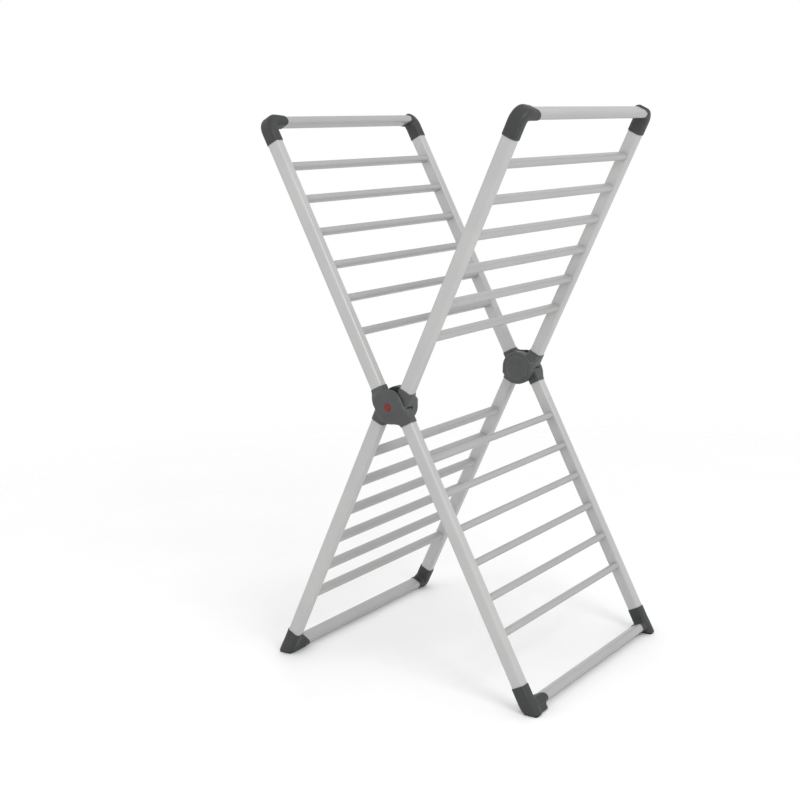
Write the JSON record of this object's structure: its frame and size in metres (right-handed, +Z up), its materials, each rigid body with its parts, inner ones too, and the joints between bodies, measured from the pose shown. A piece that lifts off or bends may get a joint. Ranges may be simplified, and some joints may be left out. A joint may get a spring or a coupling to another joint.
{
  "type": "folding clothes drying rack",
  "caption": "Free-standing X-shaped clothes drying rack: two tubular ladder frames cross at a pair of hubs and fold flat side by side.",
  "frame": {"origin": "on the floor, midway between the four feet, under the hub axis", "axes": "+Z up, Y along the rungs and the hub axis with the plain hub faces at both ends, X across the X shape; the outer frame leans towards -X above the hubs"},
  "size_m": [0.6704, 0.5652, 1.1799],
  "materials": {
    "frame_tube": "satin powder coat, light grey",
    "rung_tube": "satin powder coat, light grey",
    "corner_plastic": "fine moulded texture, dark grey",
    "hub_plastic": "fine moulded texture, mid dark grey",
    "foot_rubber": "matt",
    "pivot_steel": "turned and zinc plated",
    "washer_nylon": "natural nylon",
    "cap_red": "satin moulded red"
  },
  "bodies": {
    "outer_frame": {"outer_top_bar": "frame_tube", "outer_foot_bar": "frame_tube", "outer_foot_pads": "foot_rubber", "outer_upper_rail_front": "frame_tube", "outer_lower_rail_front": "frame_tube", "outer_corner_front": "corner_plastic", "outer_foot_front": "corner_plastic", "outer_hub_front": "hub_plastic", "outer_upper_rail_back": "frame_tube", "outer_lower_rail_back": "frame_tube", "outer_corner_back": "corner_plastic", "outer_foot_back": "corner_plastic", "outer_hub_back": "hub_plastic", "outer_upper_rung_1": "rung_tube", "outer_lower_rung_1": "rung_tube", "outer_upper_rung_2": "rung_tube", "outer_lower_rung_2": "rung_tube", "outer_upper_rung_3": "rung_tube", "outer_lower_rung_3": "rung_tube", "outer_upper_rung_4": "rung_tube", "outer_lower_rung_4": "rung_tube", "outer_upper_rung_5": "rung_tube", "outer_lower_rung_5": "rung_tube", "outer_upper_rung_6": "rung_tube", "outer_lower_rung_6": "rung_tube", "pivot_washers": "washer_nylon", "pivot_caps": "cap_red", "pivot_pin_front": "pivot_steel", "pivot_pin_back": "pivot_steel"},
    "inner_frame": {"inner_top_bar": "frame_tube", "inner_foot_bar": "frame_tube", "inner_foot_pads": "foot_rubber", "inner_upper_rail_front": "frame_tube", "inner_lower_rail_front": "frame_tube", "inner_corner_front": "corner_plastic", "inner_foot_front": "corner_plastic", "inner_hub_front": "hub_plastic", "inner_upper_rail_back": "frame_tube", "inner_lower_rail_back": "frame_tube", "inner_corner_back": "corner_plastic", "inner_foot_back": "corner_plastic", "inner_hub_back": "hub_plastic", "inner_upper_rung_1": "rung_tube", "inner_lower_rung_1": "rung_tube", "inner_upper_rung_2": "rung_tube", "inner_lower_rung_2": "rung_tube", "inner_upper_rung_3": "rung_tube", "inner_lower_rung_3": "rung_tube", "inner_upper_rung_4": "rung_tube", "inner_lower_rung_4": "rung_tube", "inner_upper_rung_5": "rung_tube", "inner_lower_rung_5": "rung_tube", "inner_upper_rung_6": "rung_tube", "inner_lower_rung_6": "rung_tube", "inner_hub_covers": "hub_plastic"}
  },
  "joints": [
    {"name": "fold", "type": "hinge", "parent": "outer_frame", "child": "inner_frame", "pos_m": [0, 0, 0.5937], "axis": [0, -1, 0], "range_deg": [0, 53]}
  ]
}
